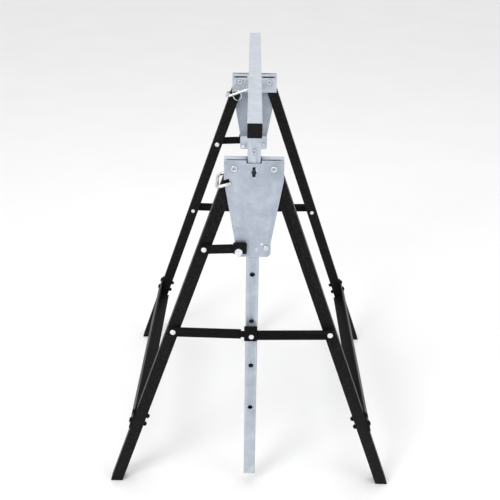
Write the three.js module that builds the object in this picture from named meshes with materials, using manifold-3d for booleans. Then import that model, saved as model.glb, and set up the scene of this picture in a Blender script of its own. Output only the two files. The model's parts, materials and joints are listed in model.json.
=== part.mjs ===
// Folding height-adjustable builder's trestle: two leg frames under head brackets, a telescopic
// mast with a beam, over-centre spreaders, lock links, side braces and clip pins. Millimetres, +Z up.
import * as THREE from 'three';
import { mergeVertices } from 'three/addons/utils/BufferGeometryUtils.js';
import Module from 'manifold-3d';

const wasm = await Module();
wasm.setup();

// Overall layout
const FRAME_Y = 275.5;          // mid-plane of each leg frame, from the centre
const TUBE = 23;                // square tube, outside
const WALL = 2;                 // tube wall
const HALF = TUBE / 2;
const BORE = HALF - WALL;
const SHEET = 3;                // bracket, bar and brace thickness
const GAP = 0.3;                // clearance between neighbouring faces
const RUN = 0.1;                // radial clearance of running pivots
const SEG = 20;                 // segments of round parts

// Mast
const PITCH = 100;              // hole pitch
const HOLES = 6;
const PIN_Z = 695;              // top hole and clip pin height
const HOLE_R = 5;
const POST_Z0 = 24.4;
const BEAM = 25;                // square tube of the beam, outside
const BEAM_Z0 = 773;
const BEAM_HALF = 339.6;        // to the outer face of the end plugs
const PLUG_LIP = 2.5;           // plug head, over the end of the tube
const PLUG_DEPTH = 14;
const STOP_Z = 732;             // stop rivet above the bracket
const STOP_R = 3;

// Head bracket
const OUT_Y0 = FRAME_Y + HALF + GAP;            // outer plate, inner face
const OUT_Y1 = OUT_Y0 + SHEET;                  // outer plate, outer face
const IN_Y1 = FRAME_Y - HALF - GAP;             // inner plate, face towards the legs
const IN_Y0 = IN_Y1 - SHEET;
const PLATE_TOP = 716;
const PLATE_W = 51.5;
const SHOULDER_Z = 680;
const WAIST_W = 32;
const WAIST_Z = 562;
const PLATE_Z0 = 533;
const CORNER_R = 9;
const NOTCH_W = 13;
const NOTCH_D = 5;
const HOOK_NOTCH_W = 8;         // slanted notch in the left edge, over the clip pin's hooked end
const HOOK_NOTCH = { x: -42, z: 679.6 };
const KEY_R = 4.5;
const KEY_W = 2.75;
const KEY_LOW = 8.5;
const KEY_HIGH = 10;
const WEB_GAP = 7;              // slit between top web and outer plate
const WEB_T = 2.5;
const WEB_SLIT = 2.5;           // slit between top web and inner plate, bridged at both ends
const WEB_TAB = 4;
const INNER_TOP = 711.5;
const TAB_TOP = 714.2;          // the bridges lie lower than the web
const INNER_Z0 = 677.6;
const STRAP_Z0 = 543;
const STRAP_Z1 = 571;

// Fastenings of the bracket
const PIVOT_X = 34.1;
const PIVOT_Z = 701.5;
const PIVOT_R = 4;
const PIVOT_HEAD_R = 6;
const STUD_X = -25.1;
const STUD_Z = 546;
const STUD_R = 3;
const STUD_HEAD_R = 7.1;
const STUD_HEAD_H = 5;
const GUIDE_X = 23.7;
const GUIDE_Z = 551;
const SLEEVE_R = 5.2;

// Legs
const LEAN = THREE.MathUtils.degToRad(19.1);
const SIN = Math.sin(LEAN);
const COS = Math.cos(LEAN);

// Spreader and lock link
const SPREAD_Z = 372.7;
const KNEE_Z = 369.7;
const BAR_H = 20;
const BAR_TAIL = 10;
const TONGUE_H = 13;
const NOTCH_X = 19.6;
const SPREAD_A = FRAME_Y + HALF + 3.5;          // inner bar layer
const SPREAD_B = SPREAD_A + SHEET + 0.5;        // outer bar layer
const BLOCK_X0 = -13.7;
const BLOCK_X1 = 10.8;
const BLOCK_Z0 = 360;
const BLOCK_Z1 = 391;
const BLOCK_T = 4;
const LINK_Z = 547.7;
const LINK_Y = OUT_Y1 + 0.6;                    // link layer
const HOOK_Y = LINK_Y + SHEET + GAP;            // hook plate layer
const LINK_H = 17;
const HOOK_X0 = -34.7;
const HOOK_X1 = -10.7;
const HOOK_Z0 = 541.8;
const HOOK_Z1 = 564;
const HOOK_SLOT = 3.6;
const RIVET_R = 4;
const COLLAR_R = 5.4;           // spacer between leg and bar
const SPREAD_HEAD_R = 5.4;
const SPREAD_TAIL_R = 4.8;
const LINK_HEAD_R = 5;
const LINK_TAIL_R = 5.6;

// Side brace, in the leg's own frame
const BRACE_TOP = 561.7;
const BRACE_BOTTOM = 602;
const BRACE_SHELF = 30;
const BRACE_HALF = 285;
const BRACE_CLEAR = FRAME_Y - HALF - 1;
const BRACE_BOLTS = [567.7, 588.4];
const BOLT_R = 3;
const BOLT_HEAD_R = 6;

// Clip pin, drawn back with its return end against the outer plate
const ROD_R = 3;
const CLIP_SLOPE = 0.37;
const CLIP_X = -63.5;
const CLIP_BACK_Y = OUT_Y1 + GAP + ROD_R;
const CLIP_SPAN = 50.5;
const CLIP_HANDLE_Y = CLIP_BACK_Y - CLIP_SPAN;
const CLIP_TIP_Y = IN_Y1 - 0.2;
const CLIP_BEND = 7;
const CLIP_RETURN = { x0: -64, z0: 667.8, x1: -39, z1: 676.2 };
const RING_X = -39.8;
const RING_R = 12;
const RING_WIRE = 1;
const RING_DROP = 4.6;          // ring centre below the handle's axis
const RING_TURN = THREE.MathUtils.degToRad(-57);

const steel = { color: 0xbec6d0, metalness: 0.8, roughness: 0.45 };
const bright = { color: 0xe6e9ec, metalness: 0.8, roughness: 0.3 };
const black = { color: 0x232325, metalness: 0.3, roughness: 0.5 };
const plastic = { color: 0x1a1a1b, metalness: 0, roughness: 0.6 };

const group = new THREE.Group();

// Welds a geometry to position and index only, with its faces turned outwards.
function weld(geometry) {
  let g = geometry.clone();
  g.deleteAttribute('normal');
  g.deleteAttribute('uv');
  g = mergeVertices(g, 1e-4);
  const p = g.attributes.position;
  const index = Array.from(g.index.array);
  const a = new THREE.Vector3();
  const b = new THREE.Vector3();
  const c = new THREE.Vector3();
  let volume = 0;
  for (let i = 0; i < index.length; i += 3) {
    a.fromBufferAttribute(p, index[i]);
    b.fromBufferAttribute(p, index[i + 1]);
    c.fromBufferAttribute(p, index[i + 2]);
    volume += a.dot(b.cross(c));
  }
  if (volume < 0) {
    for (let i = 0; i < index.length; i += 3) {
      [index[i], index[i + 2]] = [index[i + 2], index[i]];
    }
    g.setIndex(index);
  }
  return g;
}

function solid(geometry) {
  const g = weld(geometry);
  return new wasm.Manifold(new wasm.Mesh({
    numProp: 3,
    vertProperties: new Float32Array(g.attributes.position.array),
    triVerts: new Uint32Array(g.index.array),
  }));
}

function geometryOf(manifold) {
  const mesh = manifold.getMesh();
  const g = new THREE.BufferGeometry();
  g.setAttribute('position', new THREE.BufferAttribute(new Float32Array(mesh.vertProperties), 3));
  g.setIndex(Array.from(mesh.triVerts));
  return g;
}

function join(...geometries) {
  return geometryOf(geometries.map(solid).reduce((sum, next) => sum.add(next)));
}

function cut(base, ...tools) {
  return geometryOf(tools.map(solid).reduce((rest, tool) => rest.subtract(tool), solid(base)));
}

function mirrored(geometry, x, y) {
  return weld(geometry.clone().scale(x, y, 1));
}

function add(name, geometry, look) {
  const g = weld(geometry);
  g.computeVertexNormals();
  const mesh = new THREE.Mesh(g, new THREE.MeshStandardMaterial(look));
  mesh.name = name;
  group.add(mesh);
}

// Adds a front part and its mirror image in the rear frame.
function addPair(name, geometry, look) {
  add(`${name}_front`, geometry, look);
  add(`${name}_rear`, mirrored(geometry, 1, -1), look);
}

function box(x0, x1, y0, y1, z0, z1) {
  const g = new THREE.BoxGeometry(x1 - x0, y1 - y0, z1 - z0);
  return g.translate((x0 + x1) / 2, (y0 + y1) / 2, (z0 + z1) / 2);
}

// A cylinder along Y, between two distances in front of the centre plane.
function rodY(x, z, r, d0, d1, segments = SEG) {
  const g = new THREE.CylinderGeometry(r, r, d1 - d0, segments);
  return g.translate(x, -(d0 + d1) / 2, z);
}

// A turned part along Y: the profile holds [radius, distance in front of the centre plane].
function turnedY(x, z, profile) {
  const points = profile.map(([r, d]) => new THREE.Vector2(r, -d));
  return new THREE.LatheGeometry(points, SEG).translate(x, 0, z);
}

// A sheet cut to an X-Z outline, between two distances in front of the centre plane.
function sheet(shape, d0, d1) {
  const g = new THREE.ExtrudeGeometry(shape, { depth: d1 - d0, bevelEnabled: false, curveSegments: 8 });
  return g.rotateX(Math.PI / 2).translate(0, -d0, 0);
}

function polygon(points) {
  return new THREE.Shape(points.map(([x, z]) => new THREE.Vector2(x, z)));
}

function circle(x, z, r) {
  return new THREE.Path().absarc(x, z, r, 0, 2 * Math.PI, true);
}

function roundedRect(x0, x1, z0, z1, r) {
  const s = new THREE.Shape();
  s.moveTo(x0 + r, z0);
  s.lineTo(x1 - r, z0);
  s.absarc(x1 - r, z0 + r, r, -Math.PI / 2, 0, false);
  s.lineTo(x1, z1 - r);
  s.absarc(x1 - r, z1 - r, r, 0, Math.PI / 2, false);
  s.lineTo(x0 + r, z1);
  s.absarc(x0 + r, z1 - r, r, Math.PI / 2, Math.PI, false);
  s.lineTo(x0, z0 + r);
  s.absarc(x0 + r, z0 + r, r, Math.PI, 1.5 * Math.PI, false);
  return s;
}

// A rod of round section along a path of straight runs and rounded corners.
function bentRod(points, radius, bend, segments) {
  const path = new THREE.CurvePath();
  let from = points[0];
  for (let i = 1; i < points.length - 1; i += 1) {
    const corner = points[i];
    const before = corner.clone().add(points[i - 1].clone().sub(corner).setLength(bend));
    const after = corner.clone().add(points[i + 1].clone().sub(corner).setLength(bend));
    path.add(new THREE.LineCurve3(from, before));
    path.add(new THREE.QuadraticBezierCurve3(before, corner, after));
    from = after;
  }
  path.add(new THREE.LineCurve3(from, points[points.length - 1]));
  const section = new THREE.Shape().absarc(0, 0, radius, 0, 2 * Math.PI, false);
  return new THREE.ExtrudeGeometry(section, {
    extrudePath: path, steps: segments, curveSegments: 6, bevelEnabled: false,
  });
}

// Head bracket ----------------------------------------------------------------------------------
const plateShape = new THREE.Shape();
plateShape.moveTo(-PLATE_W, PLATE_TOP);
plateShape.lineTo(-PLATE_W, SHOULDER_Z);
plateShape.lineTo(-WAIST_W, WAIST_Z);
plateShape.lineTo(-WAIST_W, PLATE_Z0 + CORNER_R);
plateShape.absarc(-WAIST_W + CORNER_R, PLATE_Z0 + CORNER_R, CORNER_R, Math.PI, 1.5 * Math.PI, false);
plateShape.lineTo(WAIST_W - CORNER_R, PLATE_Z0);
plateShape.absarc(WAIST_W - CORNER_R, PLATE_Z0 + CORNER_R, CORNER_R, -Math.PI / 2, 0, false);
plateShape.lineTo(WAIST_W, WAIST_Z);
plateShape.lineTo(PLATE_W, SHOULDER_Z);
plateShape.lineTo(PLATE_W, PLATE_TOP);
plateShape.lineTo(NOTCH_W, PLATE_TOP);
plateShape.lineTo(NOTCH_W, PLATE_TOP - NOTCH_D);
plateShape.lineTo(-NOTCH_W, PLATE_TOP - NOTCH_D);
plateShape.lineTo(-NOTCH_W, PLATE_TOP);
plateShape.closePath();
for (const x of [-PIVOT_X, PIVOT_X]) {
  plateShape.holes.push(circle(x, PIVOT_Z, PIVOT_R + 2 * RUN));
}
plateShape.holes.push(circle(STUD_X, STUD_Z, STUD_R + 2 * RUN));
plateShape.holes.push(circle(GUIDE_X, GUIDE_Z, STUD_R + 2 * RUN));
const keyHole = [
  rodY(0, PIN_Z, KEY_R, OUT_Y0 - 1, OUT_Y1 + 1),
  box(-KEY_W, KEY_W, -OUT_Y1 - 1, -OUT_Y0 + 1, PIN_Z - KEY_LOW, PIN_Z + KEY_HIGH),
];
const hookNotch = box(
  -30, 0, -OUT_Y1 - 1, -OUT_Y0 + 1, -HOOK_NOTCH_W / 2, HOOK_NOTCH_W / 2,
).rotateY(-Math.atan(CLIP_SLOPE)).translate(HOOK_NOTCH.x, 0, HOOK_NOTCH.z);
addPair('bracket_plate', cut(sheet(plateShape, OUT_Y0, OUT_Y1), ...keyHole, hookNotch), steel);

const innerShape = polygon([
  [-PLATE_W, INNER_Z0], [PLATE_W, INNER_Z0], [PLATE_W, PLATE_TOP], [-PLATE_W, PLATE_TOP],
]);
for (const x of [-PIVOT_X, PIVOT_X]) {
  innerShape.holes.push(circle(x, PIVOT_Z, PIVOT_R + 2 * RUN));
}
innerShape.holes.push(circle(0, PIN_Z, ROD_R + 0.5));
const web = box(-PLATE_W, PLATE_W, -OUT_Y0 + WEB_GAP, -IN_Y0, PLATE_TOP - WEB_T, PLATE_TOP);
const webCut = box(-NOTCH_W, NOTCH_W, -OUT_Y0, -IN_Y1, PLATE_TOP - 4, PLATE_TOP + 1);
const slitX0 = NOTCH_W + WEB_TAB;
const slitX1 = PLATE_W - WEB_TAB;
const webSlit = box(slitX0, slitX1, -IN_Y1 - WEB_SLIT, -IN_Y0 + 1, INNER_TOP, PLATE_TOP + 1);
const tabCut = box(-PLATE_W - 1, PLATE_W + 1, -IN_Y1 - WEB_SLIT, -IN_Y0 + 1, TAB_TOP, PLATE_TOP + 1);
const bracketInner = cut(
  join(sheet(innerShape, IN_Y0, IN_Y1), web), webCut, tabCut, webSlit, mirrored(webSlit, -1, 1),
);
addPair('bracket_inner', bracketInner, steel);

const strapShape = roundedRect(-WAIST_W, WAIST_W, STRAP_Z0 - 4, STRAP_Z1, 5);
strapShape.holes.push(circle(STUD_X, STUD_Z, STUD_R + 2 * RUN));
strapShape.holes.push(circle(GUIDE_X, GUIDE_Z, STUD_R + 2 * RUN));
addPair('guide_strap', sheet(strapShape, IN_Y0, IN_Y1), steel);

// Hollow-headed pivot, through both plates and the leg.
const pivotProfile = [
  [0, IN_Y0 - 1.2], [2.4, IN_Y0 - 1.2], [2.4, IN_Y0 - 3.4], [PIVOT_HEAD_R - 1, IN_Y0 - 3.4],
  [PIVOT_HEAD_R, IN_Y0 - 2.4], [PIVOT_HEAD_R, IN_Y0 - GAP], [PIVOT_R, IN_Y0 - GAP],
  [PIVOT_R, OUT_Y1 + GAP], [PIVOT_HEAD_R, OUT_Y1 + GAP], [PIVOT_HEAD_R, OUT_Y1 + 1.6],
  [PIVOT_HEAD_R - 1, OUT_Y1 + 2.6], [2.4, OUT_Y1 + 2.6], [2.4, OUT_Y1 + 0.8], [0, OUT_Y1 + 0.8],
];
addPair('pivot_left', turnedY(-PIVOT_X, PIVOT_Z, pivotProfile), bright);
addPair('pivot_right', turnedY(PIVOT_X, PIVOT_Z, pivotProfile), bright);

// Lock stud with its sleeve between the plates, and the plain guide bolt opposite.
function throughBolt(headFrom, headR, headH) {
  return [
    [0, IN_Y0 - 3.2], [headR - 3.4, IN_Y0 - 3.2], [4.6, IN_Y0 - 2.2], [4.6, IN_Y0 - GAP],
    [STUD_R, IN_Y0 - GAP], [STUD_R, IN_Y1 + GAP], [SLEEVE_R, IN_Y1 + GAP],
    [SLEEVE_R, OUT_Y0 - GAP], [STUD_R, OUT_Y0 - GAP], [STUD_R, headFrom],
    [headR, headFrom], [headR, headFrom + headH - 1.5], [headR - 1.6, headFrom + headH],
    [0, headFrom + headH],
  ];
}
const studHeadY = HOOK_Y + SHEET + 0.5;
addPair('lock_stud', turnedY(STUD_X, STUD_Z, throughBolt(studHeadY, STUD_HEAD_R, STUD_HEAD_H)), bright);
addPair('guide_bolt', turnedY(GUIDE_X, GUIDE_Z, throughBolt(OUT_Y1 + GAP, 5, 2.4)), bright);

// Legs ------------------------------------------------------------------------------------------
// Each leg is made in its own frame, pivot at the origin and running down -Z, then leaned out.
function leaned(geometry) {
  return geometry.rotateY(-LEAN).translate(PIVOT_X, 0, PIVOT_Z);
}

const spreadS = (PIVOT_Z - SPREAD_Z) / COS;
const linkS = (PIVOT_Z - LINK_Z) / COS;
const legLength = PIVOT_Z / COS + 20;
const legTube = join(
  box(-HALF, HALF, -FRAME_Y - HALF, -FRAME_Y + HALF, -legLength, 0),
  rodY(0, 0, HALF, FRAME_Y - HALF, FRAME_Y + HALF, 28),
);
const legHollow = box(-BORE, BORE, -FRAME_Y - BORE, -FRAME_Y + BORE, -legLength - 1, HALF + 1);
const floorCut = box(-300, 600, -400, -150, -100, 0);

function boltHole(s) {
  const g = new THREE.CylinderGeometry(BOLT_R + 2 * RUN, BOLT_R + 2 * RUN, TUBE + 2, SEG);
  return g.rotateZ(Math.PI / 2).translate(0, -FRAME_Y, -s);
}

function legSolid(withLink) {
  const tools = [
    legHollow,
    rodY(0, 0, PIVOT_R + RUN, FRAME_Y - HALF - 1, FRAME_Y + HALF + 1),
    rodY(0, -spreadS, RIVET_R + RUN, FRAME_Y - HALF - 1, FRAME_Y + HALF + 1),
    ...BRACE_BOLTS.map(boltHole),
  ];
  if (withLink) {
    tools.push(rodY(0, -linkS, RIVET_R + RUN, FRAME_Y - HALF - 1, FRAME_Y + HALF + 1));
  }
  return cut(leaned(cut(legTube, ...tools)), floorCut);
}

addPair('leg_left', mirrored(legSolid(true), -1, 1), black);
addPair('leg_right', legSolid(false), black);

// Side braces: angle section with its shelf between the legs.
const braceFace = HALF + GAP;
const braceFlange = box(braceFace, braceFace + SHEET, -BRACE_HALF, BRACE_HALF, -BRACE_BOTTOM, -BRACE_TOP);
const braceShelf = box(
  braceFace + SHEET - BRACE_SHELF, braceFace + 1, -BRACE_CLEAR, BRACE_CLEAR,
  -BRACE_BOTTOM, -BRACE_BOTTOM + SHEET,
);
const braceHoles = [];
for (const s of BRACE_BOLTS) {
  for (const y of [-FRAME_Y, FRAME_Y]) {
    const g = new THREE.CylinderGeometry(BOLT_R + 2 * RUN, BOLT_R + 2 * RUN, 3 * SHEET, SEG);
    braceHoles.push(g.rotateZ(Math.PI / 2).translate(braceFace + SHEET / 2, y, -s));
  }
}
const brace = leaned(cut(join(braceFlange, braceShelf), ...braceHoles));
add('brace_left', mirrored(brace, -1, 1), black);
add('brace_right', brace, black);

// Brace bolt: domed head outside, plain nut and tail inside. The profile runs along the leg's X.
const headFrom = braceFace + SHEET + GAP;
const boltProfile = [
  [0, -HALF - 6.5], [BOLT_R, -HALF - 6.5], [BOLT_R, -HALF - 5], [5, -HALF - 5],
  [5, -HALF - GAP], [BOLT_R, -HALF - GAP], [BOLT_R, headFrom], [BOLT_HEAD_R, headFrom],
  [BOLT_HEAD_R - 0.6, headFrom + 1.8], [BOLT_HEAD_R - 2.6, headFrom + 3], [0, headFrom + 3.4],
];
BRACE_BOLTS.forEach((s, i) => {
  const points = boltProfile.map(([r, x]) => new THREE.Vector2(r, x));
  const g = new THREE.LatheGeometry(points, 14).rotateZ(-Math.PI / 2).translate(0, -FRAME_Y, -s);
  const bolt = leaned(g);
  const place = i === 0 ? 'upper' : 'lower';
  addPair(`brace_bolt_left_${place}`, mirrored(bolt, -1, 1), black);
  addPair(`brace_bolt_right_${place}`, bolt, black);
});

// Rivets right through the legs, from an inner head over a collar and a bar layer to the outer head.
function legRivet(x, z, layer, outerHead, innerHead) {
  const head = layer + SHEET + GAP;
  const inside = FRAME_Y - HALF - GAP;
  return turnedY(x, z, [
    [0, inside - 2.2], [innerHead - 1.8, inside - 2], [innerHead, inside - 0.8], [innerHead, inside],
    [RIVET_R, inside], [RIVET_R, FRAME_Y + HALF + GAP], [COLLAR_R, FRAME_Y + HALF + GAP],
    [COLLAR_R, layer - GAP], [RIVET_R, layer - GAP], [RIVET_R, head],
    [outerHead, head], [outerHead - 0.7, head + 1.8], [outerHead - 2.6, head + 3],
    [0, head + 3.3],
  ]);
}
const spreadX = PIVOT_X + spreadS * SIN;
const linkX = -(PIVOT_X + linkS * SIN);
const spreadHeads = [SPREAD_HEAD_R, SPREAD_TAIL_R];
addPair('spreader_rivet_left', legRivet(-spreadX, SPREAD_Z, SPREAD_A, ...spreadHeads), bright);
addPair('spreader_rivet_right', legRivet(spreadX, SPREAD_Z, SPREAD_B, ...spreadHeads), bright);
addPair('link_rivet', legRivet(linkX, LINK_Z, LINK_Y, LINK_HEAD_R, LINK_TAIL_R), bright);

// Spreader --------------------------------------------------------------------------------------
const barDrop = Math.atan2(SPREAD_Z - KNEE_Z, spreadX);
const barReach = Math.hypot(spreadX, SPREAD_Z - KNEE_Z);

// Both bars are drawn from their leg rivet at the origin towards +X.
function barOutline(kneeHalf, kneeStart, kneeEnd) {
  const s = new THREE.Shape();
  const h = BAR_H / 2;
  s.moveTo(0, -h);
  s.lineTo(kneeStart, -h);
  s.lineTo(kneeStart, -kneeHalf);
  s.lineTo(kneeEnd, -kneeHalf);
  s.lineTo(kneeEnd, kneeHalf);
  s.lineTo(kneeStart, kneeHalf);
  s.lineTo(kneeStart, h);
  s.lineTo(0, h);
  s.absarc(0, 0, h, Math.PI / 2, 1.5 * Math.PI, false);
  s.holes.push(circle(0, 0, RIVET_R + RUN));
  return s;
}

const leftBar = sheet(
  barOutline(TONGUE_H / 2, barReach - NOTCH_X, barReach - 1.5), SPREAD_A, SPREAD_A + SHEET,
);
leftBar.rotateY(barDrop).translate(-spreadX, 0, SPREAD_Z);
addPair('spreader_bar_left', leftBar, black);

const rightShape = barOutline(BAR_H / 2 - 1, barReach - 8, barReach + BAR_TAIL);
rightShape.holes.push(circle(barReach, 0, RIVET_R + 2 * RUN));
const rightBar = sheet(rightShape, SPREAD_B, SPREAD_B + SHEET).scale(-1, 1, 1);
rightBar.rotateY(-barDrop).translate(spreadX, 0, SPREAD_Z);
addPair('spreader_bar_right', rightBar, black);

const blockY = SPREAD_B + SHEET + GAP;
const blockShape = roundedRect(BLOCK_X0, BLOCK_X1, BLOCK_Z0, BLOCK_Z1, 1.5);
blockShape.holes.push(circle(0, KNEE_Z, RIVET_R + 2 * RUN));
addPair('knee_block', sheet(blockShape, blockY, blockY + BLOCK_T), black);
addPair('knee_rivet', turnedY(0, KNEE_Z, [
  [0, SPREAD_B - 0.2], [RIVET_R, SPREAD_B - 0.2], [RIVET_R, blockY + BLOCK_T + GAP],
  [5, blockY + BLOCK_T + GAP], [4.4, blockY + BLOCK_T + 1.8], [2.6, blockY + BLOCK_T + 2.6],
  [0, blockY + BLOCK_T + 2.8],
]), bright);

// Lock link -------------------------------------------------------------------------------------
const linkShape = new THREE.Shape();
linkShape.moveTo(linkX, LINK_Z - LINK_H / 2);
linkShape.lineTo(HOOK_X0 + 4, HOOK_Z0);
linkShape.lineTo(HOOK_X0 + 4, HOOK_Z0 + LINK_H);
linkShape.lineTo(linkX, LINK_Z + LINK_H / 2);
linkShape.absarc(linkX, LINK_Z, LINK_H / 2, Math.PI / 2, 1.5 * Math.PI, false);
linkShape.holes.push(circle(linkX, LINK_Z, RIVET_R + RUN));
addPair('lock_link', sheet(linkShape, LINK_Y, LINK_Y + SHEET), black);

const hookShape = new THREE.Shape();
const slotTop = STUD_Z + STUD_R + 0.6;
hookShape.moveTo(HOOK_X0, HOOK_Z0);
hookShape.lineTo(STUD_X - HOOK_SLOT, HOOK_Z0);
hookShape.lineTo(STUD_X - HOOK_SLOT, STUD_Z);
hookShape.absarc(STUD_X, slotTop - HOOK_SLOT, HOOK_SLOT, Math.PI, 0, true);
hookShape.lineTo(STUD_X + HOOK_SLOT, HOOK_Z0);
hookShape.lineTo(HOOK_X1, HOOK_Z0);
hookShape.lineTo(HOOK_X1, HOOK_Z1 - 2);
hookShape.lineTo(HOOK_X1 - 2, HOOK_Z1);
hookShape.lineTo(HOOK_X0, HOOK_Z1);
hookShape.closePath();
addPair('lock_hook', sheet(hookShape, HOOK_Y, HOOK_Y + SHEET), black);

// Mast ------------------------------------------------------------------------------------------
const postHoles = [];
for (let i = 0; i < HOLES; i += 1) {
  postHoles.push(rodY(0, PIN_Z - i * PITCH, HOLE_R, FRAME_Y - HALF - 1, FRAME_Y + HALF + 1));
}
const post = cut(
  box(-HALF, HALF, -FRAME_Y - HALF, -FRAME_Y + HALF, POST_Z0, BEAM_Z0 - GAP),
  box(-BORE, BORE, -FRAME_Y - BORE, -FRAME_Y + BORE, POST_Z0 - 1, BEAM_Z0 + 1),
  rodY(0, STOP_Z, STOP_R + 2 * RUN, FRAME_Y, FRAME_Y + HALF + 1),
  box(-KEY_W - 0.6, KEY_W + 0.6, -FRAME_Y - HALF - 1, -FRAME_Y, PIN_Z - KEY_LOW - 1, PIN_Z + KEY_HIGH + 1),
  ...postHoles,
);
addPair('post', post, steel);
addPair('post_stop', turnedY(0, STOP_Z, [
  [0, FRAME_Y + BORE - 2], [4, FRAME_Y + BORE - 2], [4, FRAME_Y + BORE - GAP],
  [STOP_R, FRAME_Y + BORE - GAP], [STOP_R, FRAME_Y + HALF + GAP],
  [4.5, FRAME_Y + HALF + GAP], [4, FRAME_Y + HALF + 1.8], [0, FRAME_Y + HALF + 2.4],
]), bright);

// A square section about the beam's axis, between two distances from the centre plane.
function beamSection(half, d0, d1) {
  const axis = BEAM_Z0 + BEAM / 2;
  return box(-half, half, d0, d1, axis - half, axis + half);
}

const tubeEnd = BEAM_HALF - PLUG_LIP - GAP;
const beamBore = BEAM / 2 - WALL;
add('beam', cut(
  beamSection(BEAM / 2, -tubeEnd, tubeEnd), beamSection(beamBore, -tubeEnd - 1, tubeEnd + 1),
), steel);

// Push-in end plug: a lip as wide as the tube and a hollow body inside it.
const plugBody = join(
  beamSection(BEAM / 2 - GAP, -BEAM_HALF, -BEAM_HALF + PLUG_LIP),
  beamSection(beamBore - GAP / 2, -BEAM_HALF + 1, -BEAM_HALF + PLUG_DEPTH),
);
const plugHollow = beamSection(beamBore - 2, -BEAM_HALF + PLUG_LIP, -BEAM_HALF + PLUG_DEPTH + 1);
addPair('beam_plug', cut(plugBody, plugHollow), plastic);

// Clip pins -------------------------------------------------------------------------------------
const clipZ = PIN_Z + CLIP_SLOPE * CLIP_X;
const clipPath = [
  new THREE.Vector3(0, -CLIP_TIP_Y, PIN_Z),
  new THREE.Vector3(0, -CLIP_HANDLE_Y, PIN_Z),
  new THREE.Vector3(CLIP_X, -CLIP_HANDLE_Y, clipZ),
  new THREE.Vector3(CLIP_RETURN.x0, -CLIP_BACK_Y, CLIP_RETURN.z0),
  new THREE.Vector3(CLIP_RETURN.x1, -CLIP_BACK_Y, CLIP_RETURN.z1),
];
addPair('clip_pin', bentRod(clipPath, ROD_R, CLIP_BEND, 48), bright);

// Split ring hanging on the handle run, turned outwards.
const ringZ = PIN_Z + CLIP_SLOPE * RING_X - RING_DROP;
const ring = new THREE.TorusGeometry(RING_R, RING_WIRE, 8, 32);
ring.rotateY(Math.PI / 2).rotateZ(RING_TURN).translate(RING_X, -CLIP_HANDLE_Y, ringZ);
addPair('split_ring', ring, bright);

export default group;
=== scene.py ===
"""Looks of the folding builder's trestle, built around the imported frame. Metres, +Z up."""

import json
import math

import bmesh
import bpy
from mathutils import Matrix, Vector, noise


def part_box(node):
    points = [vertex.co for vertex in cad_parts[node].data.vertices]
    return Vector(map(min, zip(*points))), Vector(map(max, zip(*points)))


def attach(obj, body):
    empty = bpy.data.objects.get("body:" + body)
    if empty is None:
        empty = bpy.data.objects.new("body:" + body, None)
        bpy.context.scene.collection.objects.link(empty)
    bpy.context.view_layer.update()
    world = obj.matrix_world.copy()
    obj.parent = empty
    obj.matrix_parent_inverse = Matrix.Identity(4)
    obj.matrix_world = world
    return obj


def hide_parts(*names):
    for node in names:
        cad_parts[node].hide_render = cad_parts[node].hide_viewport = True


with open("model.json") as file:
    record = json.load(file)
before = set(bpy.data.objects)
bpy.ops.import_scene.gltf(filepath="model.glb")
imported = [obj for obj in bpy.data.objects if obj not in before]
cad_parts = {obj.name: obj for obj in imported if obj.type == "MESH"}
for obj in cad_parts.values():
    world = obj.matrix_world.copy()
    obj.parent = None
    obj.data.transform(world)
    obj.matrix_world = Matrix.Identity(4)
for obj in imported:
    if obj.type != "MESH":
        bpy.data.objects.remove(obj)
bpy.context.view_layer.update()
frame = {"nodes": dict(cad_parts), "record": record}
BODY_OF = {
    node: body
    for body, nodes in frame["record"]["behaviour"]["bodies"].items()
    for node in nodes
}
SLOT_OF = {s["node"]: s["material_slot"] for s in frame["record"]["subparts"]}

MM = 0.001
GAP = 0.3 * MM  # clearance between neighbouring faces
SHEET = 3 * MM  # bracket and bar thickness
LEAN = math.radians(19.1)
SIDES = {"front": -1, "rear": 1}
FAMILIES = ("left", "right")


def low(node):
    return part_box(node)[0]


def high(node):
    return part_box(node)[1]


def middle(node):
    lo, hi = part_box(node)
    return (lo + hi) / 2


# Distances in front of the centre plane, the same for both frames.
PLATE_IN = -high("bracket_plate_front").y
PLATE_OUT = -low("bracket_plate_front").y
INNER_FACE = -high("bracket_inner_front").y
INNER_BACK = INNER_FACE + SHEET
LEG_IN = -high("leg_right_front").y
LEG_OUT = -low("leg_right_front").y


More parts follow.
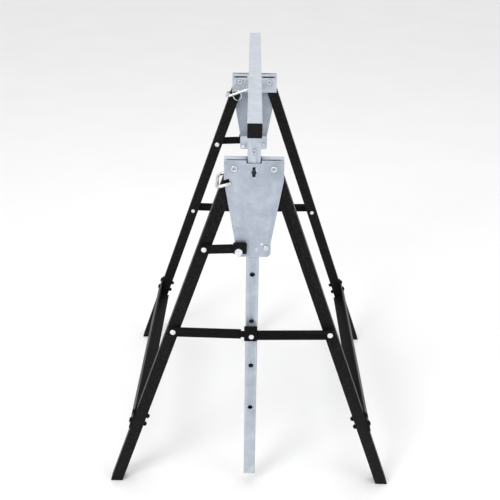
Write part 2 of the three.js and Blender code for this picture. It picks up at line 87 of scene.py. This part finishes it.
# Materials ----------------------------------------------------------------------------------------
class Nodes:
    """A material's node tree, with short calls to add and link nodes."""

    def __init__(self, name):
        self.material = bpy.data.materials.new(name)
        self.material.use_nodes = True
        self.tree = self.material.node_tree
        self.shader = self.tree.nodes["Principled BSDF"]
        self.place = self.add("ShaderNodeTexCoord").outputs["Object"]

    def add(self, kind, **values):
        node = self.tree.nodes.new(kind)
        for key, value in values.items():
            if hasattr(node, key):
                setattr(node, key, value)
            else:
                node.inputs[key.replace("_", " ")].default_value = value
        return node

    def link(self, out, socket):
        self.tree.links.new(out, socket)
        return socket

    def noise(self, scale, detail=3.0, roughness=0.55, distortion=0.0, stretch=None):
        place = self.place
        if stretch is not None:
            mapping = self.add("ShaderNodeMapping")
            mapping.inputs["Scale"].default_value = stretch
            self.link(place, mapping.inputs["Vector"])
            place = mapping.outputs["Vector"]
        node = self.add("ShaderNodeTexNoise", Scale=scale, Detail=detail, Distortion=distortion)
        node.inputs["Roughness"].default_value = roughness
        self.link(place, node.inputs["Vector"])
        return node.outputs["Fac"]

    def cells(self, scale):
        """One random colour for each cell."""
        node = self.add("ShaderNodeTexVoronoi", Scale=scale)
        self.link(self.place, node.inputs["Vector"])
        return node.outputs["Color"]

    def ramp(self, fac, stops):
        node = self.add("ShaderNodeValToRGB")
        elements = node.color_ramp.elements
        while len(elements) < len(stops):
            elements.new(0.5)
        for element, (position, color) in zip(elements, stops):
            element.position = position
            element.color = (*color, 1.0) if len(color) == 3 else color
        self.link(fac, node.inputs["Fac"])
        return node.outputs["Color"]

    def grey_ramp(self, fac, stops):
        return self.ramp(fac, [(p, (v, v, v)) for p, v in stops])

    def mix(self, fac, a, b, blend="MIX"):
        node = self.add("ShaderNodeMix", data_type="RGBA", blend_type=blend)
        if isinstance(fac, float):
            node.inputs["Factor"].default_value = fac
        else:
            self.link(fac, node.inputs["Factor"])
        self.link(a, node.inputs["A"])
        self.link(b, node.inputs["B"])
        return node.outputs["Result"]

    def math(self, operation, a, b):
        node = self.add("ShaderNodeMath", operation=operation)
        for socket, value in zip(node.inputs, (a, b)):
            if isinstance(value, float):
                socket.default_value = value
            else:
                self.link(value, socket)
        return node.outputs["Value"]

    def bump(self, height, distance, strength=1.0, under=None):
        node = self.add("ShaderNodeBump", Distance=distance, Strength=strength)
        self.link(height, node.inputs["Height"])
        if under is not None:
            self.link(under, node.inputs["Normal"])
        return node.outputs["Normal"]

    def finish(self, color, roughness, normal, **values):
        self.link(color, self.shader.inputs["Base Color"])
        self.link(roughness, self.shader.inputs["Roughness"])
        self.link(normal, self.shader.inputs["Normal"])
        for key, value in values.items():
            self.shader.inputs[key.replace("_", " ")].default_value = value
        return self.material


def edge_rub_and_highlight(nodes):
    """Mask of the convex edges of a mesh, for painted edge highlights and for rubbed edges of the
    black paint.
    """
    geometry = nodes.add("ShaderNodeNewGeometry")
    return nodes.grey_ramp(geometry.outputs["Pointiness"], [(0.515, 0.0), (0.57, 1.0)])


# Painted highlight: the lighter colour laid on the convex edges of the galvanised sheet.
def painted_edge_highlight(nodes):
    return nodes.ramp(nodes.noise(90, 2), [(0.3, (0.62, 0.66, 0.71)), (0.7, (0.8, 0.83, 0.87))])


def painted_crevice_shade(nodes, distance):
    """Painted shade: dark where neighbouring surfaces are close."""
    node = nodes.add("ShaderNodeAmbientOcclusion", samples=8)
    node.inputs["Distance"].default_value = distance
    return nodes.grey_ramp(node.outputs["AO"], [(0.15, 0.12), (0.62, 1.0)])


def galvanised():
    """Hot-dip zinc: soft cloudy mottling over a fine spangle, with drawn streaks, a painted
    highlight on convex edges and painted shade in the gaps between parts.
    """
    n = Nodes("galvanised_zinc")
    cloud = n.ramp(n.noise(26, 4, 0.6, 0.6), [
        (0.22, (0.325, 0.37, 0.42)),
        (0.5, (0.43, 0.475, 0.545)),
        (0.8, (0.56, 0.6, 0.67)),
    ])
    spangle = n.ramp(n.cells(190), [
        (0.0, (0.86, 0.87, 0.88)),
        (1.0, (1.0, 1.0, 1.0)),
    ])
    streak = n.ramp(n.noise(60, 3, 0.5, 0.0, (1.0, 1.0, 0.06)), [
        (0.3, (0.9, 0.91, 0.93)),
        (0.7, (1.0, 1.0, 1.0)),
    ])
    color = n.mix(0.7, cloud, spangle, "MULTIPLY")
    color = n.mix(0.8, color, streak, "MULTIPLY")
    # Painted highlight: convex edges lightened towards a pale zinc colour.
    color = n.mix(n.math("MULTIPLY", edge_rub_and_highlight(n), 0.45), color, painted_edge_highlight(n))
    # Painted shade: colour darkened where parts stand close together.
    color = n.mix(1.0, color, painted_crevice_shade(n, 0.012), "MULTIPLY")
    roughness = n.grey_ramp(n.noise(45, 3, 0.6), [(0.3, 0.34), (0.7, 0.52)])
    fine = n.bump(n.noise(900, 2), 0.00004, 0.4)
    normal = n.bump(n.noise(70, 3), 0.00025, 0.35, fine)
    return n.finish(color, roughness, normal, Metallic=0.45)


def black_paint():
    """Powder coat: near black, with orange peel and lighter convex edges, partly rubbed wear and
    partly a painted highlight.
    """
    n = Nodes("black_powder_coat")
    base = n.ramp(n.noise(140, 3), [
        (0.25, (0.0026, 0.0026, 0.003)), (0.75, (0.0046, 0.0046, 0.005)),
    ])
    # Lighter grey on the convex edges: partly rubbed wear, partly a painted highlight.
    rub_and_highlight = n.ramp(n.noise(260, 3), [(0.45, (0.02, 0.02, 0.021)), (0.7, (0.07, 0.07, 0.074))])
    color = n.mix(n.math("MULTIPLY", edge_rub_and_highlight(n), 0.18), base, rub_and_highlight)
    roughness = n.grey_ramp(n.noise(420, 2), [(0.3, 0.36), (0.7, 0.5)])
    normal = n.bump(n.noise(1500, 2), 0.00007, 0.5)
    return n.finish(color, roughness, normal, Specular_IOR_Level=0.06)


def bright_zinc():
    """Plated fasteners: pale, slightly cloudy, with fine turning marks."""
    n = Nodes("bright_zinc")
    color = n.ramp(n.noise(240, 3), [(0.3, (0.66, 0.67, 0.69)), (0.7, (0.84, 0.845, 0.86))])
    roughness = n.grey_ramp(n.noise(500, 2), [(0.3, 0.2), (0.7, 0.34)])
    normal = n.bump(n.noise(1400, 2), 0.00003, 0.5)
    return n.finish(color, roughness, normal, Metallic=0.4)


def plated_pivot():
    """Pivots and guide bolts: plated like the sheet around them, with painted shade in the dip and
    in the gaps around them.
    """
    n = Nodes("plated_pivot")
    color = n.ramp(n.noise(260, 3), [(0.3, (0.5, 0.53, 0.58)), (0.7, (0.66, 0.69, 0.73))])
    # Painted shade: dark in the concave dip of each head.
    hollow = n.ramp(n.add("ShaderNodeNewGeometry").outputs["Pointiness"], [
        (0.44, (0.12, 0.12, 0.13)), (0.5, (1.0, 1.0, 1.0)),
    ])
    color = n.mix(1.0, color, hollow, "MULTIPLY")
    # Painted shade: darker where parts stand close together.
    color = n.mix(1.0, color, painted_crevice_shade(n, 0.004), "MULTIPLY")
    roughness = n.grey_ramp(n.noise(420, 2), [(0.3, 0.28), (0.7, 0.42)])
    normal = n.bump(n.noise(1200, 2), 0.00003, 0.5)
    return n.finish(color, roughness, normal, Metallic=0.6)


def polished_wire():
    """Bent wire and split rings: bright polished plating that mirrors what is around it, with
    painted shade in the gaps around it.
    """
    n = Nodes("polished_wire")
    color = n.ramp(n.noise(180, 3), [(0.3, (0.5, 0.51, 0.53)), (0.7, (0.8, 0.81, 0.82))])
    # Painted shade: darker where parts stand close together.
    color = n.mix(1.0, color, painted_crevice_shade(n, 0.014), "MULTIPLY")
    roughness = n.grey_ramp(n.noise(500, 2), [(0.3, 0.1), (0.7, 0.2)])
    normal = n.bump(n.noise(900, 2), 0.00003, 0.4)
    return n.finish(color, roughness, normal, Metallic=1.0)


def black_plastic():
    """Moulded plastic: black with a fine grain."""
    n = Nodes("black_plastic")
    color = n.ramp(n.noise(300, 2), [(0.3, (0.005, 0.005, 0.006)), (0.7, (0.01, 0.01, 0.011))])
    roughness = n.grey_ramp(n.noise(800, 2), [(0.3, 0.5), (0.7, 0.66)])
    normal = n.bump(n.noise(2600, 2), 0.00006, 0.6)
    return n.finish(color, roughness, normal, Specular_IOR_Level=0.12)


def weld_metal():
    """Zinc-sprayed weld: rough and a little darker."""
    n = Nodes("weld_zinc")
    color = n.ramp(n.noise(320, 4), [(0.3, (0.3, 0.33, 0.37)), (0.7, (0.5, 0.53, 0.57))])
    roughness = n.grey_ramp(n.noise(500, 2), [(0.3, 0.5), (0.7, 0.7)])
    normal = n.bump(n.noise(700, 3), 0.0003, 0.6)
    return n.finish(color, roughness, normal, Metallic=0.4)


MATERIALS = {
    "galvanised": galvanised(),
    "black_paint": black_paint(),
    "bright_zinc": bright_zinc(),
    "black_plastic": black_plastic(),
}
WELD = weld_metal()
PIVOT = plated_pivot()
WIRE = polished_wire()


# Piece making -------------------------------------------------------------------------------------
SMOOTH_ANGLE = 35
SHARP_ANGLE = 32


def piece(name, bm, body, node=None, material=None):
    """Turns a bmesh into a named piece on a body, standing for a CAD node if one is given."""
    mesh = bpy.data.meshes.new(name)
    bmesh.ops.recalc_face_normals(bm, faces=bm.faces)
    limit = math.radians(SMOOTH_ANGLE)
    for face in bm.faces:
        face.smooth = True
    for edge in bm.edges:
        sharp = len(edge.link_faces) != 2 or edge.calc_face_angle(0.0) > limit
        edge.smooth = not sharp
    bm.to_mesh(mesh)
    bm.free()
    obj = bpy.data.objects.new(name, mesh)
    bpy.context.scene.collection.objects.link(obj)
    slot_name = SLOT_OF[node] if node else "galvanised"
    mesh.materials.append(material or MATERIALS[slot_name])
    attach(obj, body)
    if node:
        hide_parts(node)
    return obj


def node_bmesh(node):
    """A copy of a CAD node's mesh, welded, with its flat faces joined up again."""
    bm = bmesh.new()
    bm.from_mesh(frame["nodes"][node].data)
    bmesh.ops.remove_doubles(bm, verts=bm.verts, dist=1e-6)
    bmesh.ops.dissolve_limit(
        bm, angle_limit=math.radians(0.4), verts=bm.verts, edges=bm.edges,
    )
    return bm


def sharp_edges(bm, shortest=0.0):
    """Edges between two faces that meet at an angle, from a shortest length up."""
    limit = math.radians(SHARP_ANGLE)
    found = []
    for edge in bm.edges:
        if len(edge.link_faces) != 2 or edge.calc_length() < shortest:
            continue
        if edge.calc_face_angle(0.0) > limit:
            found.append(edge)
    return found


def round_edges(bm, edges, width, segments):
    bmesh.ops.bevel(
        bm, geom=edges, offset=width, offset_type="OFFSET", segments=segments,
        profile=0.5, affect="EDGES", clamp_overlap=True, harden_normals=False,
    )


def refined(node, long_edge=None, long_width=0.0, fine=0.3 * MM, segments=2):
    """A CAD node with rounded long edges and finely broken short ones."""
    bm = node_bmesh(node)
    if long_edge:
        round_edges(bm, sharp_edges(bm, long_edge), long_width, 4)
    if fine:
        round_edges(bm, sharp_edges(bm), fine, segments)
    return piece(f"{node}_v", bm, BODY_OF[node], node)


def on_circle(place, radius, angle, height):
    return place @ Vector((radius * math.cos(angle), radius * math.sin(angle), height))


def turned(bm, profile, place, segments=40):
    """Adds a turned solid. The profile's pairs are radius and height along the place's Z."""
    rings = []
    for radius, height in profile:
        if radius < 1e-7:
            rings.append([bm.verts.new(place @ Vector((0, 0, height)))])
            continue
        ring = []
        for i in range(segments):
            a = 2 * math.pi * i / segments
            ring.append(bm.verts.new(on_circle(place, radius, a, height)))
        rings.append(ring)
    for first, second in zip(rings, rings[1:]):
        for i in range(segments):
            j = (i + 1) % segments
            corners = [first[i % len(first)], first[j % len(first)]]
            corners += [second[j % len(second)], second[i % len(second)]]
            unique = list(dict.fromkeys(corners))
            if len(unique) > 2:
                bm.faces.new(unique)


def rounded(profile, radius=0.4 * MM, steps=3):
    """The same profile with its inner corners rounded off."""
    out = [profile[0]]
    for before, corner, after in zip(profile, profile[1:], profile[2:]):
        c = Vector(corner)
        a = Vector(before) - c
        b = Vector(after) - c
        reach = min(radius, a.length * 0.45, b.length * 0.45)
        if reach < 1e-6:
            out.append(corner)
            continue
        start = c + a.normalized() * reach
        end = c + b.normalized() * reach
        for k in range(steps + 1):
            t = k / steps
            out.append(tuple(start * (1 - t) ** 2 + c * 2 * t * (1 - t) + end * t ** 2))
    out.append(profile[-1])
    return out


def outward(x, z, side):
    """A place at (x, z) whose Z runs outwards from the centre plane, on one side."""
    z_axis = Vector((0, side, 0))
    x_axis = Vector((1, 0, 0))
    y_axis = z_axis.cross(x_axis)
    m = Matrix((x_axis, y_axis, z_axis)).transposed().to_4x4()
    m.translation = Vector((x, 0, z))
    return m


def swept(bm, points, radius, segments=16, squash_ends=True):
    """Adds a rod of round section along points, with rounded ends."""
    tangents = []
    for i, point in enumerate(points):
        a = points[max(i - 1, 0)]
        b = points[min(i + 1, len(points) - 1)]
        tangents.append((b - a).normalized())
    normal = tangents[0].orthogonal().normalized()
    rings = []
    radii = [radius(i) if callable(radius) else radius for i in range(len(points))]
    for point, tangent, r in zip(points, tangents, radii):
        normal = (normal - tangent * normal.dot(tangent)).normalized()
        side = tangent.cross(normal)
        ring = []
        for k in range(segments):
            a = 2 * math.pi * k / segments
            ring.append(bm.verts.new(point + (normal * math.cos(a) + side * math.sin(a)) * r))
        rings.append(ring)
    for first, second in zip(rings, rings[1:]):
        for k in range(segments):
            j = (k + 1) % segments
            bm.faces.new([first[k], first[j], second[j], second[k]])
    bm.faces.new(rings[0][::-1])
    bm.faces.new(rings[-1])
    if squash_ends:
        caps = [f for f in bm.faces if len(f.verts) == segments]
        edges = [e for f in caps[-2:] for e in f.edges]
        round_edges(bm, edges, radii[0] * 0.45, 3)


def corner_path(points, bend, steps=8):
    """Straight runs joined by smooth corners."""
    path = [points[0]]
    for before, corner, after in zip(points, points[1:], points[2:]):
        start = corner + (before - corner).normalized() * bend
        end = corner + (after - corner).normalized() * bend
        for k in range(steps + 1):
            t = k / steps
            path.append(start * (1 - t) ** 2 + corner * 2 * t * (1 - t) + end * t ** 2)
    path.append(points[-1])
    return path


# Tubes --------------------------------------------------------------------------------------------
TUBE_CORNER = 2.2 * MM
for where in SIDES:
    for hand in FAMILIES:
        refined(f"leg_{hand}_{where}", 60 * MM, TUBE_CORNER, 0.25 * MM, 1)
    refined(f"post_{where}", 60 * MM, TUBE_CORNER, 0.35 * MM, 2)
    refined(f"beam_plug_{where}", None, 0.0, 0.8 * MM, 3)
refined("beam", 60 * MM, TUBE_CORNER, 0.3 * MM, 1)

# Side braces, rolled angle with a bend radius
for hand in FAMILIES:
    refined(f"brace_{hand}", 200 * MM, 0.8 * MM, 0.25 * MM, 1)

# Flat bars, links and blocks
for where in SIDES:
    for name in ("spreader_bar_left", "spreader_bar_right", "lock_link"):
        refined(f"{name}_{where}", None, 0.0, 0.6 * MM, 3)
    refined(f"lock_hook_{where}", None, 0.0, 0.5 * MM, 2)
    refined(f"knee_block_{where}", None, 0.0, 1.1 * MM, 3)
    refined(f"guide_strap_{where}", None, 0.0, 0.6 * MM, 2)
    refined(f"bracket_inner_{where}", 60 * MM, 0.9 * MM, 0.3 * MM, 2)


# Outer bracket plates, with pressed beads along the tapered edges ---------------------------------
BEAD_INSET = 7 * MM
BEAD_WIDTH = 1.6 * MM
BEAD_HEIGHT = 0.7 * MM
GUIDE_BEAD_DEPTH = 0.6 * MM
GUIDE_BEAD_WIDTH = 1.3 * MM
SHOULDER_Z = 0.680
WAIST_Z = 0.562
WAIST_W = 0.032
GUIDE_BEADS = (0.5625, 0.5535)
GUIDE_BEAD_X = (-0.010, 0.017)


def plate_half_width(z):
    t = min(max((z - WAIST_Z) / (SHOULDER_Z - WAIST_Z), 0.0), 1.0)
    return WAIST_W + (high("bracket_plate_front").x - WAIST_W) * t


def bump_curve(distance, width):
    return math.exp(-((distance / width) ** 2))


def bead_height(x, z):
    """How far the plate is pressed outwards at a point."""
    h = 0.0
    if WAIST_Z - 0.008 < z < SHOULDER_Z:
        fade = min(1.0, (z - WAIST_Z + 0.008) / 0.01, (SHOULDER_Z - z) / 0.012)
        inset = plate_half_width(z) - BEAD_INSET
        h += BEAD_HEIGHT * fade * bump_curve(abs(x) - inset, BEAD_WIDTH)
    x0, x1 = GUIDE_BEAD_X
    if x0 - 0.004 < x < x1 + 0.004:
        fade = min(1.0, (x - x0 + 0.004) / 0.004, (x1 + 0.004 - x) / 0.004)
        for bead_z in GUIDE_BEADS:
            h -= GUIDE_BEAD_DEPTH * fade * bump_curve(z - bead_z, GUIDE_BEAD_WIDTH)
    wave = noise.noise(Vector((x * 18, z * 18, 0.3)))
    return h + 0.09 * MM * wave


def grid_cut(bm, axis, start, stop, step):
    normal = Vector((1, 0, 0)) if axis == 0 else Vector((0, 0, 1))
    at = start + step
    while at < stop:
        geometry = bm.verts[:] + bm.edges[:] + bm.faces[:]
        bmesh.ops.bisect_plane(bm, geom=geometry, dist=1e-7, plane_co=normal * at, plane_no=normal)
        at += step


for where, side in SIDES.items():
    plate = f"bracket_plate_{where}"
    lo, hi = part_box(plate)
    bm = node_bmesh(plate)
    round_edges(bm, sharp_edges(bm), 0.45 * MM, 2)
    grid_cut(bm, 0, lo.x, hi.x, 2.1 * MM)
    grid_cut(bm, 2, lo.z, hi.z, 2.9 * MM)
    for v in bm.verts:
        v.co.y += side * bead_height(v.co.x, v.co.z)
    piece(f"{plate}_v", bm, BODY_OF[plate], plate)


# Fasteners ----------------------------------------------------------------------------------------
def across(node):
    """Radius of a turned node whose axis is Y."""
    lo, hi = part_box(node)
    return (hi.x - lo.x) / 2


def reach(node):
    """The node's nearest and farthest distances from the centre plane."""
    lo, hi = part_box(node)
    return min(abs(lo.y), abs(hi.y)), max(abs(lo.y), abs(hi.y))


def hollow_head(at, direction, radius):
    """Rolled rim of a hollow pivot, from the shank side to its dipped centre."""
    d = direction
    return [
        (radius, at), (radius, at + 1.2 * MM * d), (radius - 1.2 * MM, at + 2.2 * MM * d),
        (radius - 2.4 * MM, at + 2.0 * MM * d), (2.6 * MM, at + 1.2 * MM * d),
        (2.2 * MM, at - 0.4 * MM * d), (0, at - 0.4 * MM * d),
    ]


for where, side in SIDES.items():
    for hand in FAMILIES:
        node = f"pivot_{hand}_{where}"
        c = middle(node)
        shank = 4 * MM
        near = hollow_head(INNER_FACE - GAP, -1, across(node))
        far = hollow_head(PLATE_OUT + GAP, 1, across(node))
        profile = near[::-1] + [(shank, INNER_FACE - GAP), (shank, PLATE_OUT + GAP)] + far
        bm = bmesh.new()
        turned(bm, rounded(profile, 0.5 * MM), outward(c.x, c.z, side))
        piece(f"{node}_v", bm, BODY_OF[node], node, PIVOT)


def through_bolt(node, side, head_from, head_h, material):
    """A bolt with nut inside the bracket, a sleeve between the plates and its head outside."""
    c = middle(node)
    r = across(node)
    near, far = reach(node)
    dome = head_h * 0.45
    profile = [
        (0, near), (2.4 * MM, near), (2.9 * MM, near + 0.5 * MM), (2.9 * MM, near + 0.9 * MM),
        (4.5 * MM, near + 0.9 * MM), (4.6 * MM, INNER_FACE - GAP), (3 * MM, INNER_FACE - GAP),
        (3 * MM, INNER_BACK + GAP), (5.2 * MM, INNER_BACK + GAP), (5.2 * MM, PLATE_IN - GAP),
        (3 * MM, PLATE_IN - GAP), (3 * MM, head_from), (r - 0.2 * MM, head_from),
        (r, head_from + 0.4 * MM), (r, far - dome), (r * 0.8, far - dome * 0.25),
        (r * 0.4, far), (0, far),
    ]
    bm = bmesh.new()
    turned(bm, rounded(profile, 0.35 * MM), outward(c.x, c.z, side))
    piece(f"{node}_v", bm, BODY_OF[node], node, material)


STUD_HEAD_H = 5 * MM
GUIDE_HEAD_H = 2.4 * MM
for where, side in SIDES.items():
    far = reach(f"lock_stud_{where}")[1]
    through_bolt(f"lock_stud_{where}", side, far - STUD_HEAD_H, STUD_HEAD_H, None)
    far = reach(f"guide_bolt_{where}")[1]
    through_bolt(f"guide_bolt_{where}", side, far - GUIDE_HEAD_H, GUIDE_HEAD_H, PIVOT)


COLLAR_R = 5.3 * MM


def leg_rivet(node, side, inner_head, r):
    """A rivet right through the leg, over a spacer collar, with domed heads at both ends."""
    c = middle(node)
    near, far = reach(node)
    head = far - 3.3 * MM
    collar_end = head - SHEET - 2 * GAP
    q = inner_head
    profile = [
        (0, near), (q * 0.5, near), (q * 0.9, near + 0.9 * MM), (q, LEG_IN - GAP),
        (4 * MM, LEG_IN - GAP), (4 * MM, LEG_OUT + GAP),
        (COLLAR_R, LEG_OUT + GAP), (COLLAR_R, collar_end),
        (4 * MM, collar_end), (4 * MM, head), (r, head), (r, head + 0.7 * MM),
        (r * 0.9, head + 1.7 * MM), (r * 0.66, head + 2.7 * MM), (r * 0.3, far), (0, far),
    ]
    bm = bmesh.new()
    turned(bm, rounded(profile, 0.4 * MM), outward(c.x, c.z, side))
    piece(f"{node}_v", bm, BODY_OF[node], node)


SMALL_RIVET_X = 0.016
SMALL_RIVET_Z = 0.559
RIVET_HEADS = {
    "spreader_rivet_left": (4.7 * MM, 5.4 * MM),
    "spreader_rivet_right": (4.7 * MM, 5.4 * MM),
    "link_rivet": (5.5 * MM, 5.0 * MM),
}
for where, side in SIDES.items():
    for name, heads in RIVET_HEADS.items():
        leg_rivet(f"{name}_{where}", side, *heads)
    knee = f"knee_rivet_{where}"
    c = middle(knee)
    r = across(knee)
    near, far = reach(knee)
    bm = bmesh.new()
    turned(bm, rounded([
        (0, near), (4 * MM, near), (4 * MM, far - 2.8 * MM), (r, far - 2.8 * MM),
        (r, far - 2.1 * MM), (r * 0.8, far - 0.7 * MM), (r * 0.4, far), (0, far),
    ], 0.3 * MM), outward(c.x, c.z, side))
    piece(f"{knee}_v", bm, BODY_OF[knee], knee)

    stop = f"post_stop_{where}"
    c = middle(stop)
    near, far = reach(stop)
    bm = bmesh.new()
    turned(bm, rounded([
        (0, near), (4 * MM, near), (4 * MM, near + 1.7 * MM), (3 * MM, near + 1.7 * MM),
        (3 * MM, far - 2.1 * MM), (4.5 * MM, far - 2.1 * MM), (4.4 * MM, far - 0.9 * MM),
        (3.6 * MM, far), (2.3 * MM, far), (1.9 * MM, far - 1.6 * MM), (0, far - 1.6 * MM),
    ], 0.3 * MM), outward(c.x, c.z, side))
    piece(f"{stop}_v", bm, BODY_OF[stop], stop, PIVOT)

    bm = bmesh.new()
    turned(bm, rounded([
        (0, PLATE_OUT - 0.5 * MM), (2.7 * MM, PLATE_OUT - 0.5 * MM),
        (2.7 * MM, PLATE_OUT + 0.5 * MM), (2.1 * MM, PLATE_OUT + 1.3 * MM),
        (0.9 * MM, PLATE_OUT + 1.6 * MM), (0, PLATE_OUT + 1.6 * MM),
    ], 0.3 * MM), outward(SMALL_RIVET_X, SMALL_RIVET_Z, side))
    piece(f"plate_rivet_{where}", bm, "head", None, MATERIALS["bright_zinc"])


# Brace bolts: domed flanged heads outside, hexagon nuts and tails inside --------------------------
def hex_prism(bm, place, across_flats, z0, z1):
    radius = across_flats / math.sqrt(3)
    rings = []
    for z in (z0, z1):
        ring = []
        for i in range(6):
            a = math.pi * i / 3
            ring.append(bm.verts.new(on_circle(place, radius, a, z)))
        rings.append(ring)
    faces = [bm.faces.new(rings[0][::-1]), bm.faces.new(rings[1])]
    for i in range(6):
        j = (i + 1) % 6
        faces.append(bm.faces.new([rings[0][i], rings[0][j], rings[1][j], rings[1][i]]))
    round_edges(bm, list({e for f in faces for e in f.edges}), 0.5 * MM, 2)


def leaned(node, hand):
    """A place at the node's middle whose Z is the leg's outward normal."""
    sign = 1 if hand == "right" else -1
    z_axis = Vector((sign * math.cos(LEAN), 0, math.sin(LEAN)))
    y_axis = Vector((0, 1, 0))
    x_axis = y_axis.cross(z_axis)
    m = Matrix((x_axis, y_axis, z_axis)).transposed().to_4x4()
    m.translation = middle(node)
    return m


BOLT_TAIL = -18.0 * MM
BOLT_TOP = 18.5 * MM
for where in SIDES:
    for hand in FAMILIES:
        for level in ("upper", "lower"):
            node = f"brace_bolt_{hand}_{level}_{where}"
            place = leaned(node, hand)
            profile = [
                (0, BOLT_TAIL), (2.5 * MM, BOLT_TAIL), (2.9 * MM, BOLT_TAIL + 0.5 * MM),
                (2.9 * MM, BOLT_TOP - 3.4 * MM), (5.9 * MM, BOLT_TOP - 3.4 * MM),
                (5.9 * MM, BOLT_TOP - 2.7 * MM), (4.9 * MM, BOLT_TOP - 1.2 * MM),
                (3.0 * MM, BOLT_TOP - 0.3 * MM), (0, BOLT_TOP),
            ]
            bm = bmesh.new()
            hex_prism(bm, place, 8.6 * MM, BOLT_TAIL + 1.6 * MM, BOLT_TAIL + 6.2 * MM)
            turned(bm, rounded(profile, 0.3 * MM), place, 32)
            piece(f"{node}_v", bm, BODY_OF[node], node)


# Clip pins and split rings ------------------------------------------------------------------------
ROD = 3 * MM
PIN_Z = 0.695
SLOPE = 0.37
HOOK_X = -63.5 * MM
RETURN = ((-64 * MM, 0.6678), (-39 * MM, 0.6762))
RING_X = -39.8 * MM
RING_DROP = 4.6 * MM
RING_RADIUS = 12 * MM
RING_TURN = math.radians(-57)
RING_TURNS = 1.92
RING_STEPS = 110
RING_START = 0.6
RING_WIDTH = 1.9 * MM
RING_WIRE = 0.85 * MM
for where, side in SIDES.items():
    node = f"clip_pin_{where}"
    near, far = reach(node)
    handle_y = side * (near + ROD)
    back_y = side * (far - ROD)
    tip_y = side * (INNER_BACK - 0.2 * MM)
    (x0, z0), (x1, z1) = RETURN
    path = corner_path([
        Vector((0, tip_y, PIN_Z)), Vector((0, handle_y, PIN_Z)),
        Vector((HOOK_X, handle_y, PIN_Z + SLOPE * HOOK_X)),
        Vector((x0, back_y, z0)), Vector((x1, back_y, z1)),
    ], 9 * MM, 10)
    bm = bmesh.new()
    swept(bm, path, ROD - 0.02 * MM, 24)
    piece(f"{node}_v", bm, BODY_OF[node], node, WIRE)

    node = f"split_ring_{where}"
    turn = Matrix.Rotation(RING_TURN * -side, 3, "Z")
    u = turn @ Vector((0, 1, 0))
    w = turn @ Vector((1, 0, 0))
    centre = Vector((RING_X, handle_y, PIN_Z + SLOPE * RING_X - RING_DROP))
    points = []
    for i in range(RING_STEPS + 1):
        a = 2 * math.pi * RING_TURNS * i / RING_STEPS + RING_START
        lift = (i / RING_STEPS - 0.5) * RING_WIDTH
        around = u * math.cos(a) + Vector((0, 0, 1)) * math.sin(a)
        points.append(centre + around * RING_RADIUS + w * lift)
    bm = bmesh.new()
    swept(bm, points, RING_WIRE, 10, False)
    piece(f"{node}_v", bm, BODY_OF[node], node, WIRE)


# Weld beads where the posts meet the beam ---------------------------------------------------------
for where, side in SIDES.items():
    lo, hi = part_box(f"post_{where}")
    beam_z = low("beam").z
    for edge, y in (("inner", lo.y), ("outer", hi.y)):
        direction = 1 if edge == "outer" else -1
        points = []
        for i in range(31):
            x = lo.x + 1.5 * MM + (hi.x - lo.x - 3 * MM) * i / 30
            points.append(Vector((x, y + direction * 0.5 * MM, beam_z - 0.9 * MM)))

        def bead(i):
            return (1.55 + 0.35 * math.sin(i * 2.1) + 0.15 * math.sin(i * 0.9)) * MM

        bm = bmesh.new()
        swept(bm, points, bead, 12, False)
        piece(f"weld_{where}_{edge}", bm, "mast", None, WELD)


# Floor, light and camera --------------------------------------------------------------------------
def floor():
    bm = bmesh.new()
    bmesh.ops.create_grid(bm, x_segments=40, y_segments=40, size=9.0)
    mesh = bpy.data.meshes.new("floor")
    bm.to_mesh(mesh)
    bm.free()
    obj = bpy.data.objects.new("floor", mesh)
    obj.location.z = -0.4 * MM
    bpy.context.scene.collection.objects.link(obj)
    n = Nodes("floor_pale")
    color = n.ramp(n.noise(3, 2), [(0.3, (0.9, 0.9, 0.9)), (0.7, (0.92, 0.92, 0.92))])
    roughness = n.grey_ramp(n.noise(4, 2), [(0.3, 0.8), (0.7, 0.9)])
    normal = n.bump(n.noise(200, 2), 0.00001, 0.1)
    mesh.materials.append(n.finish(color, roughness, normal))


def area(name, location, target, size, energy):
    light = bpy.data.lights.new(name, "AREA")
    light.shape = "DISK"
    light.size = size
    light.energy = energy
    obj = bpy.data.objects.new(name, light)
    obj.location = location
    direction = Vector(target) - Vector(location)
    obj.rotation_euler = direction.to_track_quat("-Z", "Y").to_euler()
    bpy.context.scene.collection.objects.link(obj)


floor()
world = bpy.data.worlds.new("studio")
world.use_nodes = True
world.node_tree.nodes["Background"].inputs["Color"].default_value = (1.0, 1.0, 1.0, 1.0)
world.node_tree.nodes["Background"].inputs["Strength"].default_value = 0.86
bpy.context.scene.world = world
area("key", (-1.6, -2.2, 2.6), (0, 0, 0.4), 1.4, 38)
area("fill", (2.2, -1.6, 1.8), (0, 0, 0.4), 2.0, 12)
area("top", (0.2, 0.4, 3.0), (0, 0, 0.4), 2.2, 13)
bpy.context.scene.view_settings.view_transform = "Standard"

CAMERA_AT = Vector((-0.0051, -1.5943, 1.2073))
YAW = math.radians(0.01)
PITCH = math.radians(26.858)
ROLL = math.radians(0.838)
camera_data = bpy.data.cameras.new("camera")
camera_data.lens = 58.80
camera_data.sensor_width = 36
camera_data.clip_end = 60
camera = bpy.data.objects.new("camera", camera_data)
forward = Vector((
    math.sin(YAW) * math.cos(PITCH), math.cos(YAW) * math.cos(PITCH), -math.sin(PITCH),
))
flat_right = Vector((math.cos(YAW), -math.sin(YAW), 0))
flat_up = flat_right.cross(forward)
right = flat_right * math.cos(ROLL) + flat_up * math.sin(ROLL)
up = flat_up * math.cos(ROLL) - flat_right * math.sin(ROLL)
placed = Matrix((right, up, -forward)).transposed().to_4x4()
placed.translation = CAMERA_AT
camera.matrix_world = placed
bpy.context.scene.collection.objects.link(camera)
bpy.context.scene.camera = camera

bpy.context.view_layer.update()
